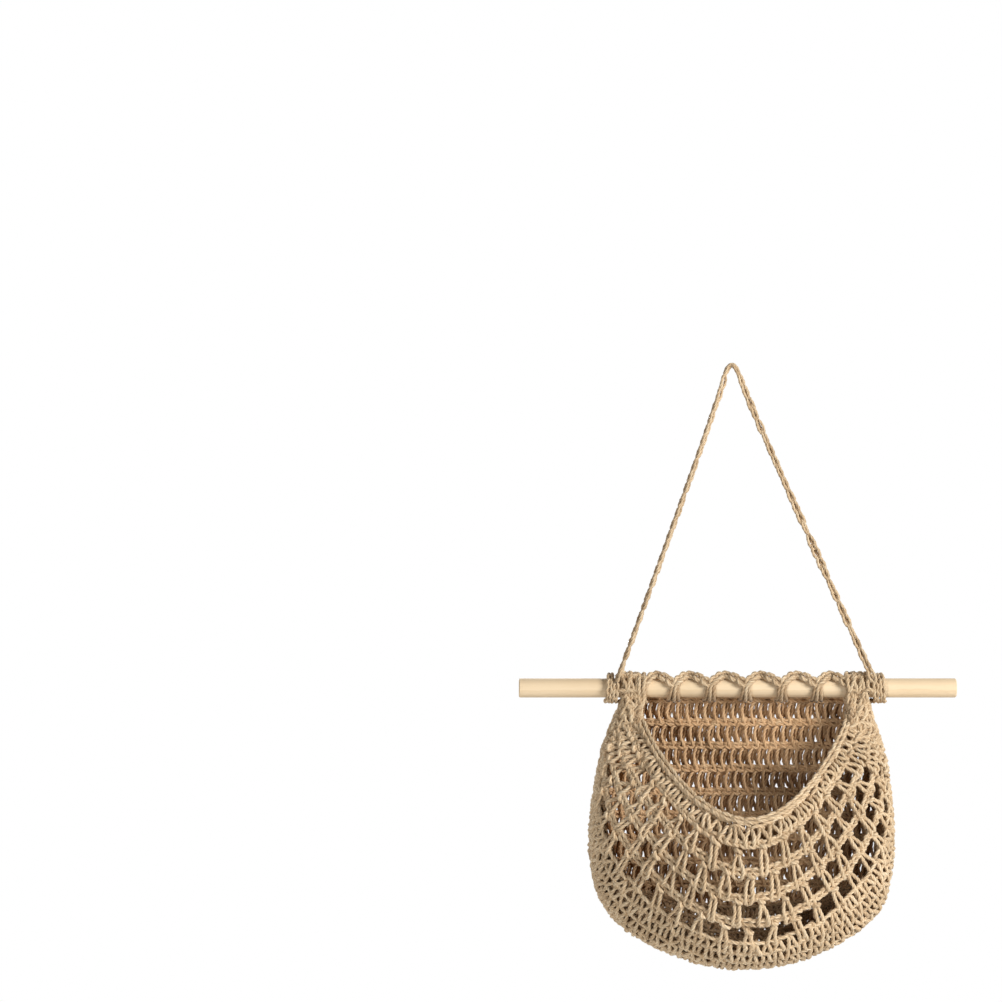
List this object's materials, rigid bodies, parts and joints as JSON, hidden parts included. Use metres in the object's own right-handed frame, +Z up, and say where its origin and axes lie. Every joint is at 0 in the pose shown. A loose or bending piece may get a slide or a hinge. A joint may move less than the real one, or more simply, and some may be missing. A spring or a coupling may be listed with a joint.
{
  "type": "hanging basket",
  "caption": "Crocheted jute wall basket gathered on a wooden dowel, with an open-mesh pouch for fruit and a chain cord that hangs on a nail.",
  "frame": {"origin": "axis of the nail that the cord hangs on, in the plane of the cord", "axes": "+X along the dowel to the viewer's right, +Y towards the wall, +Z up"},
  "size_m": [0.365, 0.1254, 0.501],
  "materials": {
    "jute": "matte natural jute twine",
    "pale_wood": "sanded, unfinished pale wood"
  },
  "bodies": {
    "hanger": {"hanging_cord": "jute", "left_hitch": "jute", "right_hitch": "jute"},
    "dowel": {"dowel": "pale_wood"},
    "basket": {"dowel_loop_1": "jute", "dowel_loop_2": "jute", "dowel_loop_3": "jute", "dowel_loop_4": "jute", "dowel_loop_5": "jute", "dowel_arch_1": "jute", "dowel_arch_2": "jute", "dowel_arch_3": "jute", "dowel_arch_4": "jute", "dowel_arch_5": "jute", "dowel_arch_6": "jute", "left_gather": "jute", "right_gather": "jute", "back_course_1": "jute", "back_course_2": "jute", "back_course_3": "jute", "back_course_4": "jute", "back_course_5": "jute", "back_course_6": "jute", "back_course_7": "jute", "back_course_8": "jute", "back_course_9": "jute", "rim": "jute", "collar_course": "jute", "mesh_course_1": "jute", "mesh_course_2": "jute", "mesh_course_3": "jute", "mesh_course_4": "jute", "base_course_1": "jute", "base_course_2": "jute", "base_course_3": "jute", "base_course_4": "jute", "base_course_5": "jute"}
  },
  "joints": [
    {"name": "dowel_slide", "type": "slide", "parent": "hanger", "child": "dowel", "axis": [1, 0, 0], "range_m": [-0.31, 0.31]},
    {"name": "basket_swing", "type": "hinge", "parent": "hanger", "child": "basket", "pos_m": [0.0109, 0, -0.266], "axis": [-1, 0, 0], "range_deg": [0, 60]}
  ]
}
